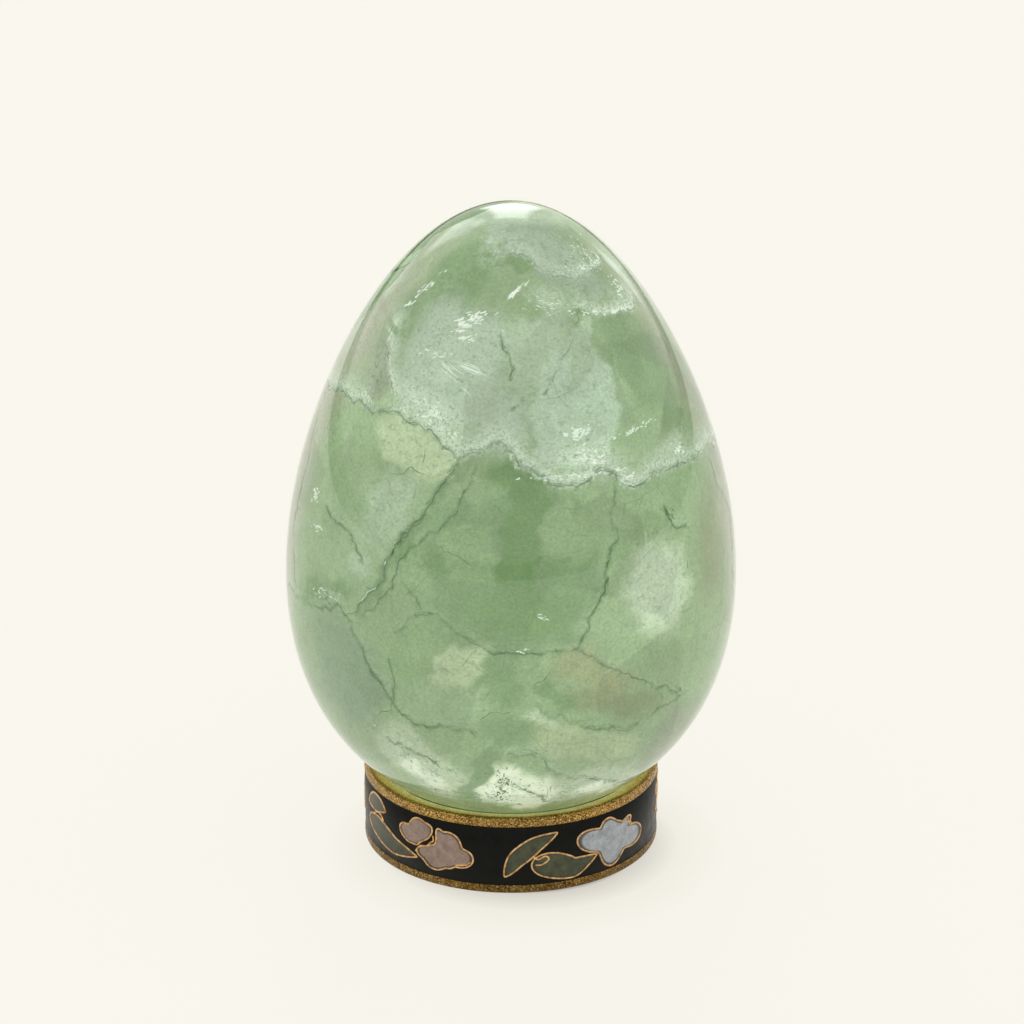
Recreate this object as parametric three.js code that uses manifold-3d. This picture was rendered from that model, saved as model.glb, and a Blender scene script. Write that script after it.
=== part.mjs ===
// A polished fluorite egg standing blunt end down on a low cloisonne ring.
// Millimetres, +Z up. The origin is at the centre of the ring's foot, and -Y is the front.
import * as THREE from "three";
import { mergeVertices } from "three/addons/utils/BufferGeometryUtils.js";
import Module from "manifold-3d";

const wasm = await Module();
wasm.setup();

// Egg
const eggHeight = 75;
const eggWidth = 54;
const eggTaper = 0.2247; // share by which the blunt end is fuller than the pointed one
const eggCrown = 0.0291; // share by which both ends are fuller than an ellipse
const eggRings = 18;

// Ring stand
const ringDiameter = 36;
const ringHeight = 9.8;
const ringWall = 1.4; // metal and enamel together
const footRimHeight = 1.1;
const lipHeight = 1.2;
const lipWidth = 1.0;
const lipRound = 0.3; // radius of the rolled lip's two edges
const footRound = 0.35; // radius of the foot's outer edge
const seatWidth = 2.4; // from the outer face to the seat's inner edge
const seatThickness = 0.8;
const seatFall = 0.2; // how far the seat slopes down to its inner edge
const seatStep = 0.25; // how far the seat's outer end lies below the lip
const seatGap = 0.05; // between the egg and the seat

// Enamel and wire
const enamelDepth = 0.5;
const enamelSink = 0.04; // how far the enamel lies below the lip's outer face
const wireThickness = 0.3;
const wireProud = 0.08; // how far the wires stand out of the lip's outer face
const bedGap = 0.06; // between the metal, each wire and each field of enamel
const branchBearings = [-30, 42, 122, 191, 259]; // degrees from the front to each branch's flower

// Facets round the axis. The egg and the ring have the same, so that they meet edge to edge.
const facets = 40;

const ringRadius = ringDiameter / 2;
const channelRadius = ringRadius - enamelDepth;
const boreRadius = ringRadius - ringWall;
const lipInnerRadius = ringRadius - lipWidth;
const seatRadius = ringRadius - seatWidth;
const channelBottom = footRimHeight;
const channelTop = ringHeight - lipHeight;
const channelHeight = channelTop - channelBottom;
const channelMiddle = (channelTop + channelBottom) / 2;
const seatOuterTop = ringHeight - seatStep;
const seatInnerTop = seatOuterTop - seatFall;
const seatUnderside = seatInnerTop - seatThickness;

const finishes = {
  fluorite: new THREE.MeshStandardMaterial({ color: 0x8fbf8c, roughness: 0.05, metalness: 0 }),
  gilt: new THREE.MeshStandardMaterial({ color: 0xb08a3c, roughness: 0.35, metalness: 1 }),
  blackEnamel: new THREE.MeshStandardMaterial({ color: 0x15150f, roughness: 0.2, metalness: 0 }),
  leafEnamel: new THREE.MeshStandardMaterial({ color: 0x454c33, roughness: 0.25, metalness: 0 }),
  pinkEnamel: new THREE.MeshStandardMaterial({ color: 0x857066, roughness: 0.25, metalness: 0 }),
  blueEnamel: new THREE.MeshStandardMaterial({ color: 0x9a9da0, roughness: 0.25, metalness: 0 }),
};

// Solids

// A geometry as a manifold-3d solid.
function solidOf(geometry) {
  const bare = geometry.clone();
  bare.deleteAttribute("normal");
  bare.deleteAttribute("uv");
  const merged = mergeVertices(bare, 1e-4);
  const vertProperties = merged.attributes.position.array;
  const triVerts = new Uint32Array(merged.index.array);
  return new wasm.Manifold(new wasm.Mesh({ numProp: 3, vertProperties, triVerts }));
}

// A manifold-3d solid as a geometry.
function geometryOf(solid) {
  const { vertProperties, triVerts } = solid.getMesh();
  const geometry = new THREE.BufferGeometry();
  geometry.setAttribute("position", new THREE.BufferAttribute(vertProperties, 3));
  geometry.setIndex(new THREE.BufferAttribute(triVerts, 1));
  geometry.computeVertexNormals();
  return geometry;
}

// A profile of [radius, height] points turned round the Z axis.
function turned(profile) {
  const points = profile.map(([radius, height]) => new THREE.Vector2(radius, height));
  return new THREE.LatheGeometry(points, facets).rotateX(Math.PI / 2);
}

// A plain tube between two radii and two heights.
function tube(innerRadius, outerRadius, bottom, top) {
  return turned([
    [innerRadius, bottom],
    [outerRadius, bottom],
    [outerRadius, top],
    [innerRadius, top],
    [innerRadius, bottom],
  ]);
}

function named(name, geometry, material) {
  const mesh = new THREE.Mesh(geometry, material);
  mesh.name = name;
  return mesh;
}

// Points along a quarter circle of the given radius, from one angle to another, in degrees.
function quarter(centreRadius, centreHeight, radius, from, to) {
  const steps = 2;
  return Array.from({ length: steps + 1 }, (_, i) => {
    const angle = THREE.MathUtils.degToRad(from + ((to - from) * i) / steps);
    return [centreRadius + radius * Math.cos(angle), centreHeight + radius * Math.sin(angle)];
  });
}

// Egg

// The egg's half width as a share, at a height from -1 at the blunt end to 1 at the pointed end.
function eggShare(s) {
  return Math.sqrt(Math.max(0, 1 - s * s)) * (1 - eggTaper * s + eggCrown * s * s);
}

const heightShares = Array.from({ length: 2001 }, (_, i) => -1 + i / 1000);
const fullestShare = Math.max(...heightShares.map(eggShare));
const fullestHeight = (eggHeight / 2) * (1 + heightShares.find((s) => eggShare(s) === fullestShare));

function eggRadius(heightAboveTip) {
  const s = (2 * heightAboveTip) / eggHeight - 1;
  return ((eggWidth / 2) * eggShare(s)) / fullestShare;
}

// The height above the egg's blunt tip at which it is as wide as the seat, found by halving.
function heightAtRadius(radius) {
  let low = 0;
  let high = eggHeight / 3;
  for (let i = 0; i < 50; i++) {
    const middle = (low + high) / 2;
    if (eggRadius(middle) < radius) low = middle;
    else high = middle;
  }
  return low;
}

const seatedHeight = heightAtRadius(seatRadius);
const eggBottom = seatInnerTop + seatGap - seatedHeight;

// Heights of the egg's facets, above its blunt tip. They are closer together at its ends, and
// one lies where the egg is seated and one where it is fullest.
function facetHeights() {
  const angleAt = (height) => Math.acos(1 - (2 * height) / eggHeight);
  const stops = [0, angleAt(seatedHeight), angleAt(fullestHeight), Math.PI];
  const angles = stops.slice(1).flatMap((stop, i) => {
    const span = stop - stops[i];
    const count = Math.max(1, Math.round((eggRings * span) / Math.PI));
    return Array.from({ length: count }, (_, k) => stops[i] + (span * (k + 1)) / count);
  });
  return [0, ...angles.map((angle) => (eggHeight / 2) * (1 - Math.cos(angle)))];
}

function eggGeometry() {
  const heights = facetHeights();
  const last = heights.length - 1;
  return turned(
    heights.map((h, i) => [i === 0 || i === last ? 0 : eggRadius(h), eggBottom + h]),
  );
}

// Ring stand: one spun ring of metal, with a channel for the enamel and a seat for the egg

function ringGeometry() {
  return turned([
    [boreRadius, 0],
    ...quarter(ringRadius - footRound, footRound, footRound, -90, 0),
    [ringRadius, channelBottom],
    [channelRadius, channelBottom],
    [channelRadius, channelTop],
    [ringRadius, channelTop],
    ...quarter(ringRadius - lipRound, ringHeight - lipRound, lipRound, 0, 90),
    ...quarter(lipInnerRadius + lipRound, ringHeight - lipRound, lipRound, 90, 180),
    [lipInnerRadius, seatOuterTop],
    [seatRadius, seatInnerTop],
    [seatRadius, seatUnderside],
    [boreRadius, seatUnderside],
    [boreRadius, 0],
  ]);
}

// Cloisonne cells. A cell's outline is drawn flat, as seen from outside the ring. The drawing
// stretches with the branch's length along the band, and with the band's height up it.

const branchLength = (2 * Math.PI * ringRadius) / branchBearings.length;
const drawnAspect = 3.016; // a branch's length over the band's height, as drawn
const drawingScale = new THREE.Vector2(branchLength, drawnAspect * channelHeight);

// A point along the band in shares of a branch's length, and up it in shares of its height.
function place([along, up]) {
  return new THREE.Vector2(along * branchLength, (up - 0.5) * channelHeight);
}

// A flower or bud: soft lobes round a heart, each [bearing in degrees, reach, breadth in degrees].
// Reaches are in shares of a branch's length. grow moves the outline outwards, in millimetres.
function lobedCell({ centre, heart, lobes, corners = 24 }) {
  const middle = place(centre);
  const crispness = 8; // how sharply one lobe parts from the next
  const reach = (angle) => {
    const lengths = lobes.map(([bearing, length, breadth]) => {
      const away = THREE.MathUtils.euclideanModulo(angle - bearing + 180, 360) - 180;
      return length * Math.exp(-((away / breadth) ** 2));
    });
    const sum = [heart, ...lengths].reduce((total, length) => total + length ** crispness, 0);
    return sum ** (1 / crispness);
  };
  return (grow) =>
    Array.from({ length: corners }, (_, i) => {
      const angle = (360 * i) / corners;
      const turn = THREE.MathUtils.degToRad(angle);
      const edge = new THREE.Vector2(Math.cos(turn), Math.sin(turn))
        .multiplyScalar(reach(angle))
        .multiply(drawingScale);
      return edge.setLength(edge.length() + grow).add(middle);
    });
}

// A leaf: a spine through a few points, fullest at a share of its length.
function leafCell({ spine, width, fullest, corners = 7 }) {
  const curve = new THREE.SplineCurve(spine.map(place));
  const power = Math.log(0.5) / Math.log(fullest);
  const acrossAt = (t) => {
    const along = curve.getTangent(t);
    return new THREE.Vector2(-along.y, along.x);
  };
  const halfWidth = (t) => {
    const scale = acrossAt(t).multiply(drawingScale).length();
    return (width / 2) * scale * Math.sin(Math.PI * t ** power) ** 0.8;
  };
  return (grow) => {
    const shares = Array.from({ length: 101 }, (_, i) => i / 100);
    const wide = shares.filter((t) => halfWidth(t) + grow > 0.05);
    const start = grow > 0 ? 0 : wide[0];
    const end = grow > 0 ? 1 : wide[wide.length - 1];
    const side = (sign) =>
      Array.from({ length: corners }, (_, i) => {
        const t = start + ((end - start) * (i + 0.5)) / corners;
        return curve.getPoint(t).addScaledVector(acrossAt(t), sign * (halfWidth(t) + grow));
      });
    const tip = (t, sign) =>
      curve.getPoint(t).addScaledVector(curve.getTangent(t), sign * Math.max(grow, 0));
    return [tip(start, -1), ...side(-1), tip(end, 1), ...side(1).reverse()];
  };
}

// The outline as a straight prism through the band, facing out at the cell's own bearing.
function prism(cell, turn, grow) {
  const outline = cell.outline(grow);
  const centre = new THREE.Box2().setFromPoints(cell.outline(0)).getCenter(new THREE.Vector2());
  const shape = new THREE.Shape(outline.map((p) => new THREE.Vector2(p.x - centre.x, p.y)));
  const bearing = turn + centre.x / ringRadius;
  const right = new THREE.Vector3(Math.cos(bearing), Math.sin(bearing), 0);
  const up = new THREE.Vector3(0, 0, 1);
  const outwards = new THREE.Vector3().crossVectors(right, up);
  const geometry = new THREE.ExtrudeGeometry(shape, { depth: ringRadius, bevelEnabled: false });
  geometry.translate(0, channelMiddle, ringRadius / 2);
  return solidOf(geometry.applyMatrix4(new THREE.Matrix4().makeBasis(right, up, outwards)));
}

const wireSolid = solidOf(
  tube(channelRadius + bedGap, ringRadius + wireProud, channelBottom, channelTop),
);
const enamelSolid = solidOf(
  tube(
    channelRadius + bedGap,
    ringRadius - enamelSink,
    channelBottom + bedGap,
    channelTop - bedGap,
  ),
);

// The two kinds of branch. Shares are of one branch's length and of the band's height.
const paleBranch = {
  enamel: finishes.blueEnamel,
  cells: {
    leaf_a: leafCell({
      spine: [[-0.617, 0.15], [-0.555, 0.46], [-0.455, 0.7], [-0.335, 0.87]],
      width: 0.096,
      fullest: 0.45,
    }),
    leaf_b: leafCell({
      spine: [[-0.462, 0.36], [-0.355, 0.31], [-0.24, 0.2], [-0.12, 0.31]],
      width: 0.14,
      fullest: 0.33,
    }),
    flower: lobedCell({
      centre: [0.015, 0.47],
      heart: 0.11,
      lobes: [
        [163, 0.246, 36],
        [113, 0.152, 50],
        [36, 0.168, 22],
        [353, 0.247, 35],
        [260, 0.138, 70],
      ],
    }),
  },
};
const roseBranch = {
  enamel: finishes.pinkEnamel,
  cells: {
    leaf_a: leafCell({
      spine: [[-0.6, 0.68], [-0.52, 0.78], [-0.44, 0.8], [-0.375, 0.76]],
      width: 0.095,
      fullest: 0.5,
    }),
    leaf_b: leafCell({
      spine: [[-0.59, 0.42], [-0.45, 0.38], [-0.3, 0.25], [-0.135, 0.24]],
      width: 0.115,
      fullest: 0.36,
    }),
    bud: lobedCell({
      centre: [-0.132, 0.541],
      heart: 0.03,
      lobes: [
        [156, 0.119, 46],
        [160, 0.092, 66],
        [72, 0.134, 65],
        [44, 0.145, 35],
        [112, 0.081, 129],
      ],
    }),
    flower: lobedCell({
      centre: [0.07, 0.37],
      heart: 0.06,
      lobes: [
        [181, 0.189, 25],
        [190, 0.15, 70],
        [8, 0.147, 52],
        [85, 0.151, 75],
        [109, 0.163, 19],
      ],
    }),
  },
};

const leafFinish = finishes.leafEnamel;
const branches = branchBearings.map((bearing, i) => ({
  number: i + 1,
  turn: THREE.MathUtils.degToRad(bearing),
  ...(i % 2 ? paleBranch : roseBranch),
}));
const cells = branches.flatMap(({ number, turn, enamel, cells: outlines }) =>
  Object.entries(outlines).map(([part, outline]) => ({
    name: `${part}_${number}`,
    outline,
    turn,
    finish: part.startsWith("leaf") ? leafFinish : enamel,
  })),
);

function wireGeometry(cell) {
  const outside = prism(cell, cell.turn, wireThickness / 2);
  const inside = prism(cell, cell.turn, -wireThickness / 2);
  return geometryOf(outside.subtract(inside).intersect(wireSolid));
}

function fillGeometry(cell) {
  const inside = prism(cell, cell.turn, -wireThickness / 2 - bedGap);
  return geometryOf(inside.intersect(enamelSolid));
}

function groundGeometry() {
  const pocket = wireThickness / 2 + bedGap;
  return geometryOf(
    cells.reduce((band, cell) => band.subtract(prism(cell, cell.turn, pocket)), enamelSolid),
  );
}

const stand = new THREE.Group();
stand.add(named("ring_body", ringGeometry(), finishes.gilt));
stand.add(named("enamel_ground", groundGeometry(), finishes.blackEnamel));
for (const cell of cells) {
  stand.add(named(`${cell.name}_wire`, wireGeometry(cell), finishes.gilt));
  stand.add(named(`${cell.name}_enamel`, fillGeometry(cell), cell.finish));
}

const part = new THREE.Group();
part.add(named("egg", eggGeometry(), finishes.fluorite));
part.add(stand);

export default part;
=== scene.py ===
import bpy
import numpy as np
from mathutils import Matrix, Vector


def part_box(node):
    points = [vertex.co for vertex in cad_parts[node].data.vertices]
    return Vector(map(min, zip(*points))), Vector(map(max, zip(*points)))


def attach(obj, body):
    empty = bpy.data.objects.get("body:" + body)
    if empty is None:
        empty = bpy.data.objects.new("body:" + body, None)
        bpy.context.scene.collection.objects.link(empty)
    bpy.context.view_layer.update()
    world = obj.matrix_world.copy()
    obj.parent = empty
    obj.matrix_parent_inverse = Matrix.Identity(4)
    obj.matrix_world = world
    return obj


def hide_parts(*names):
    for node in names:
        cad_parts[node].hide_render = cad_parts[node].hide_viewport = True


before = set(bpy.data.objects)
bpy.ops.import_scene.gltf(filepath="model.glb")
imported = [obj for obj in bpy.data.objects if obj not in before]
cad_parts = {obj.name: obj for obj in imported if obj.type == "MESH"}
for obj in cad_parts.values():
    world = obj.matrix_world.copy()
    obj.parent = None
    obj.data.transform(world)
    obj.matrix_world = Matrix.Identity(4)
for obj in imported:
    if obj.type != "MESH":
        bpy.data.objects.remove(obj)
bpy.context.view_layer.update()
MM = 0.001

# The stage: a plain cream floor that glows a little, under a pale sky that is dim at the horizon
# and has three soft windows behind the object. The floor's glow holds a painted shadow round the
# ring's foot and a dark disc painted under the ring. The camera looks down on the front by about
# 21 degrees from 400 mm away, with a long lens.
camera_distance = 400 * MM
camera_elevation = np.radians(20.66)
camera_target = Vector((0, 0, 41.66 * MM))
camera_lens = 117.8
camera_shift = 0.001
sky_brightness = 1.12
floor_radius = 1.5
floor_sides = 96
floor_glow = 0.9
floor_shadow_colour = (30, 29, 26)
shadow_middle = (2 * MM, -4 * MM, 0)
shadow_reach = 25 * MM
under_ring = 17.2 * MM
clear_of_ring = 17.8 * MM

camera_data = bpy.data.cameras.new("camera")
camera_data.sensor_width = 36
camera_data.lens = camera_lens
camera_data.shift_x = camera_shift
camera_data.clip_start = 0.01
camera = bpy.data.objects.new("camera", camera_data)
towards = Vector((0, -np.cos(camera_elevation), np.sin(camera_elevation)))
camera.location = camera_target + camera_distance * towards
camera.rotation_euler = (-towards).to_track_quat("-Z", "Y").to_euler()
bpy.context.scene.collection.objects.link(camera)
bpy.context.scene.camera = camera
bpy.context.scene.view_settings.view_transform = "Standard"


def paint(red, green, blue):
    """The colour that a screen shows as these 0 to 255 values, as a shader takes it."""
    shown = np.array([red, green, blue]) / 255
    linear = np.where(shown < 0.04045, shown / 12.92, ((shown + 0.055) / 1.055) ** 2.4)
    return (*linear.tolist(), 1.0)


def unit(vectors):
    """The same vectors with a length of one."""
    return vectors / (np.linalg.norm(vectors, axis=-1, keepdims=True) + 1e-12)


def around_axis(radius, bearing, height):
    """Points at a radius, a bearing from the front and a height: radius times sine, minus radius
    times cosine, and the height."""
    level = [radius * np.sin(bearing), -radius * np.cos(bearing)]
    return np.stack([*level, height + 0 * bearing], axis=-1)


def new_material(name):
    """A material with its node tree and its one Principled shader."""
    material = bpy.data.materials.new(name)
    material.use_nodes = True
    return material, material.node_tree, material.node_tree.nodes["Principled BSDF"]


def plug(tree, node, sockets):
    """Fills a node's sockets with numbers, colours or the outputs of other nodes."""
    for name, value in sockets.items():
        if isinstance(value, bpy.types.NodeSocket):
            tree.links.new(value, node.inputs[name])
        else:
            node.inputs[name].default_value = value


def new_node(tree, kind, sockets, **settings):
    """A node of a kind, with its settings and sockets."""
    node = tree.nodes.new(kind)
    for name, value in settings.items():
        setattr(node, name, value)
    plug(tree, node, sockets)
    return node


def place_of(tree):
    """The place on the piece in metres, as textures read it."""
    return tree.nodes.new("ShaderNodeTexCoord").outputs["Object"]


def ramp(tree, value, *stops):
    """A value turned to colour or grey by stops of (position, colour)."""
    node = new_node(tree, "ShaderNodeValToRGB", {"Fac": value})
    elements = node.color_ramp.elements
    while len(elements) < len(stops):
        elements.new(0.5)
    for element, (position, colour) in zip(elements, stops):
        element.position = position
        element.color = colour if isinstance(colour, tuple) else (colour, colour, colour, 1)
    return node.outputs["Color"]


def mixed(tree, share, first, second, way="MIX"):
    """Two colours mixed by a share."""
    sockets = {0: share, 6: first, 7: second}
    return new_node(tree, "ShaderNodeMix", sockets, data_type="RGBA", blend_type=way).outputs[2]


def multiplied(tree, first, second):
    """The product of two colours or shares."""
    return mixed(tree, 1.0, first, second, "MULTIPLY")


def measured(tree, operation, place, other=(0, 0, 0)):
    """A number from one or two vectors: a length, a distance or a dot product."""
    sockets = {0: place, 1: other}
    return new_node(tree, "ShaderNodeVectorMath", sockets, operation=operation).outputs["Value"]


def worked(tree, operation, *values):
    """A number worked out from others."""
    return new_node(tree, "ShaderNodeMath", dict(enumerate(values)), operation=operation).outputs[0]


def between(tree, value, start, stop, low=0.0):
    """How far a value is on its way from start to stop, as a share from low to 1."""
    sockets = {"Value": value, "From Min": start, "From Max": stop, "To Min": low}
    return new_node(tree, "ShaderNodeMapRange", sockets).outputs["Result"]


def soft_box(tree, direction, bearing, elevation, width, height, softness):
    """A rectangle of sky, as a share from 0 to 1: its middle, size and soft edge in degrees."""
    turn, rise = np.radians([bearing, elevation])
    middle = around_axis(np.cos(rise), turn, np.sin(rise))
    level = unit(np.cross([0, 0, 1], middle))
    lit = ramp(tree, measured(tree, "DOT_PRODUCT", direction, middle), (0.0, 0.0), (0.1, 1.0))
    for axis, size in ((level, width), (np.cross(middle, level), height)):
        away = worked(tree, "ABSOLUTE", measured(tree, "DOT_PRODUCT", direction, axis))
        edge, soft = np.sin(np.radians([size / 2, softness]))
        lit = multiplied(tree, lit, ramp(tree, away, (max(edge - soft, 0), 1.0), (edge, 0.0)))
    return lit


world = bpy.data.worlds.new("studio")
world.use_nodes = True
bpy.context.scene.world = world
tree = world.node_tree
direction = tree.nodes.new("ShaderNodeTexCoord").outputs["Generated"]
sky = ramp(
    tree, measured(tree, "DOT_PRODUCT", direction, (0, 0, 1)), (0.03, paint(74, 66, 58)),
    (0.07, paint(236, 232, 224)), (0.5, paint(238, 235, 228)), (1.0, paint(255, 253, 250)),
)
windows = {
    # bearing, elevation, width, height and soft edge in degrees, and brightness
    "rear": (180, 33, 22, 40, 4, 4.6),
    "rear_left": (-149, 35, 20, 30, 5, 2.9),
    "rear_right": (146, 12, 9, 14, 2, 1.8),
}
for *place_and_size, brightness in windows.values():
    window = soft_box(tree, direction, *place_and_size)
    sky = mixed(tree, window, sky, (brightness, brightness, brightness, 1.0))
plug(tree, tree.nodes["Background"], {"Color": sky, "Strength": sky_brightness})

floor_bearings = np.linspace(0, 2 * np.pi, floor_sides, endpoint=False)
floor_rim = around_axis(floor_radius, floor_bearings, 0)
floor_mesh = bpy.data.meshes.new("floor")
floor_mesh.from_pydata(floor_rim.tolist(), [], [list(range(floor_sides))])
floor = bpy.data.objects.new("floor", floor_mesh)
bpy.context.scene.collection.objects.link(floor)
floor_paint, tree, shader = new_material("floor")
place = place_of(tree)
# Painted shadow: the floor's glow fades to dark round the ring's foot, reaching further to the front,
# and is dark under the ring.
from_shadow = worked(tree, "DIVIDE", measured(tree, "DISTANCE", place, shadow_middle), shadow_reach)
glow_with_painted_shadow = ramp(
    tree, from_shadow, (0.5, paint(*floor_shadow_colour)), (0.56, paint(216, 212, 203)),
    (0.74, paint(244, 241, 231)), (1.0, paint(250, 247, 238)),
)
clear_of_shadow_disc = between(tree, measured(tree, "LENGTH", place), under_ring, clear_of_ring)
plug(tree, shader, {
    "Base Color": paint(79, 78, 75),
    "Roughness": 1.0,
    "Specular IOR Level": 0.0,
    "Emission Color": mixed(tree, clear_of_shadow_disc, paint(*floor_shadow_colour), glow_with_painted_shadow),
    "Emission Strength": floor_glow,
})
floor_mesh.materials.append(floor_paint)

# The ring's metal: one ring of gilt brass, spun with a foot rim, a channel for the enamel, a
# rolled lip and a narrow seat that slopes in to the egg. The gilding is worn to brown in specks.
# The gilt's colour also holds painted light: bright sparkle specks, a lighter lip top over darker
# lower parts, painted shade at the front and a painted glow on the seat.
ring_low, ring_high = (np.array(corner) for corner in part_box("ring_body"))
ring_radius = ring_high[0]
ring_height = ring_high[2]
foot_rim = 1.1 * MM
lip_height = 1.2 * MM
lip_width = 1.0 * MM
wall = 1.4 * MM
seat_width = 2.4 * MM
seat_thickness = 0.8 * MM
seat_fall = 0.2 * MM
seat_step = 0.25 * MM
seat_lit_from = 0.4 * MM
seat_glow = 0.72
enamel_depth = 0.5 * MM
edge_round = 0.1 * MM
foot_round = 0.35 * MM
rim_round = 0.2 * MM
channel_round = 0.02 * MM
lip_round = 0.42 * MM
step_round = 0.05 * MM
seat_round = 0.15 * MM
# Painted shade: the gilt is darkened at the front of the ring, most within 4 mm of this point.
front_shade_middle = (0, -ring_radius, 0.6 * ring_height)
front_shade_within = 4 * MM
front_shade_until = 10 * MM
front_shade_least = 0.74


def rounded(corners, radii, steps=6):
    """A closed profile: each corner is cut back by its radius and rounded with a parabola."""
    before = unit(np.roll(corners, 1, axis=0) - corners)
    after = unit(np.roll(corners, -1, axis=0) - corners)
    start = corners + before * radii[:, None]
    end = corners + after * radii[:, None]
    share = np.linspace(0, 1, steps)[None, :, None]
    curve = (1 - share) ** 2 * start[:, None] + 2 * share * (1 - share) * corners[:, None]
    return (curve + share**2 * end[:, None]).reshape(-1, 2)


def turned(profile, columns=288):
    """A profile of (radius, height) points turned once round the upright axis."""
    bearing = np.linspace(0, 2 * np.pi, columns, endpoint=False)
    return around_axis(profile[:, 0, None], bearing, profile[:, 1, None])


def skin(grids, ends="capped"):
    """Vertices and faces of grids whose columns wrap round. Rows end in a point at their own
    middle when capped, join the first row when looped, and are left as they are when open."""
    vertices, faces, count = [], [], 0
    for grid in grids:
        rows, columns = grid.shape[:2]
        here = count + np.arange(rows * columns).reshape(rows, columns)
        if ends == "looped":
            here = np.concatenate([here, here[:1]])
        beside = np.roll(here, -1, axis=1)
        if ends == "open":
            here, beside = here[:, :-1], beside[:, :-1]
        quads = np.stack([here[:-1], beside[:-1], beside[1:], here[1:]], axis=-1)
        faces += quads.reshape(-1, 4).tolist()
        vertices.append(grid.reshape(-1, 3))
        count += rows * columns
        if ends == "capped":
            vertices.append([grid[0].mean(axis=0), grid[-1].mean(axis=0)])
            first = np.full(columns, count)
            faces += np.stack([first, beside[0], here[0]], axis=-1).tolist()
            faces += np.stack([first + 1, here[-1], beside[-1]], axis=-1).tolist()
            count += 2
    return np.concatenate(vertices), faces


def piece(name, grids, material, replaces=(), ends="capped"):
    """A smooth piece of the object, made of grids of points, with its finish and its place."""
    vertices, faces = skin(grids, ends)
    mesh = bpy.data.meshes.new(name)
    mesh.from_pydata(vertices.tolist(), [], faces)
    mesh.polygons.foreach_set("use_smooth", [True] * len(mesh.polygons))
    mesh.materials.append(material)
    made = bpy.data.objects.new(name, mesh)
    bpy.context.scene.collection.objects.link(made)
    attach(made, "root")
    if replaces:
        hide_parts(*replaces)
    return made


def noise(tree, place, scale, detail=4.0, roughness=0.6, stretch=None):
    """Cloudy noise, with its size in patches per metre."""
    if stretch:
        mapping = new_node(tree, "ShaderNodeMapping", {"Vector": place, "Scale": stretch})
        place = mapping.outputs["Vector"]
    sockets = {"Vector": place, "Scale": scale, "Detail": detail, "Roughness": roughness}
    return new_node(tree, "ShaderNodeTexNoise", sockets).outputs["Fac"]


def bumped(tree, shader, height, depth, strength=1.0):
    """Fine relief from a texture, with its depth in metres."""
    sockets = {"Height": height, "Distance": depth, "Strength": strength}
    plug(tree, shader, {"Normal": new_node(tree, "ShaderNodeBump", sockets).outputs["Normal"]})


gilt, tree, shader = new_material("worn_gilt_painted_light")
place = place_of(tree)
grain = noise(tree, place, 5200, 2.0, 0.7)
tone = ramp(
    tree, noise(tree, place, 900), (0.3, paint(146, 108, 46)), (0.7, paint(206, 162, 84))
)
# Painted highlights: bright sparkle specks in the gilt's colour, standing for glitter on the metal.
tone = mixed(tree, ramp(tree, grain, (0.56, 0.0), (0.65, 0.9)), tone, paint(255, 230, 168))
up_ring = between(tree, measured(tree, "DOT_PRODUCT", place, (0, 0, 1)), 0.0, ring_height)
# Partly wear and partly painted light: the gilt is lightest on the lip's rounded top and darker lower
# down.
rub_and_painted_light = ramp(
    tree, up_ring, (0.0, 0.46), (0.12, 0.54), (0.88, 0.6), (0.92, 0.95), (0.97, 0.8), (1.0, 1.0)
)
specks = ramp(tree, grain, (0.4, 1.0), (0.5, 0.0))
patches = ramp(tree, noise(tree, place, 320, 3.0), (0.3, 0.4), (0.6, 1.0))
wear = multiplied(tree, specks, patches)
gold = mixed(tree, wear, multiplied(tree, tone, rub_and_painted_light), paint(70, 46, 22))
# Painted shade at the front of the ring, easing off by 10 mm.
from_front_shade = measured(tree, "DISTANCE", place, front_shade_middle)
gold = multiplied(tree, gold, between(tree, from_front_shade, front_shade_within, front_shade_until, front_shade_least))
level = new_node(tree, "ShaderNodeVectorMath", {0: place, 1: (1, 1, 0)}, operation="MULTIPLY")
from_axis = measured(tree, "LENGTH", level.outputs["Vector"])
# Painted light: the seat glows green-gold, standing for light the crystal throws on it.
inwards = between(tree, from_axis, ring_radius - seat_lit_from, ring_radius - seat_width)
lit_seat = ramp(
    tree, inwards, (0.0, paint(0, 0, 0)), (0.2, paint(150, 130, 52)),
    (0.6, paint(170, 162, 88)), (1.0, paint(176, 192, 132)),
)
clouds = ramp(tree, noise(tree, place, 900, 3.0), (0.3, 0.75), (0.7, 1.1))
plug(tree, shader, {
    "Base Color": gold,
    "Emission Color": multiplied(tree, lit_seat, clouds),
    "Emission Strength": seat_glow,
    "Roughness": ramp(tree, grain, (0.3, 0.5), (0.7, 0.25)),
    "Metallic": 1.0,
})
bumped(tree, shader, grain, 0.08 * MM)

band_bottom = foot_rim
band_top = ring_height - lip_height
channel = ring_radius - enamel_depth
bore = ring_radius - wall
lip_inside = ring_radius - lip_width
seat_edge = ring_radius - seat_width
seat_top = ring_height - seat_step
seat_low = seat_top - seat_fall
ring_corners = np.array([
    # radius, height and rounding
    (bore, 0, edge_round),
    (ring_radius, 0, foot_round),
    (ring_radius, band_bottom, rim_round),
    (channel, band_bottom, channel_round),
    (channel, band_top, channel_round),
    (ring_radius, band_top, rim_round),
    (ring_radius, ring_height, lip_round),
    (lip_inside, ring_height, lip_round),
    (lip_inside, seat_top, step_round),
    (seat_edge, seat_low, seat_round),
    (seat_edge, seat_low - seat_thickness, seat_round),
    (bore, seat_low - seat_thickness, edge_round),
])
ring_profile = rounded(ring_corners[:, :2], ring_corners[:, 2])
piece("ring_metal", [turned(ring_profile)], gilt, ["ring_body"], ends="looped")

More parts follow.
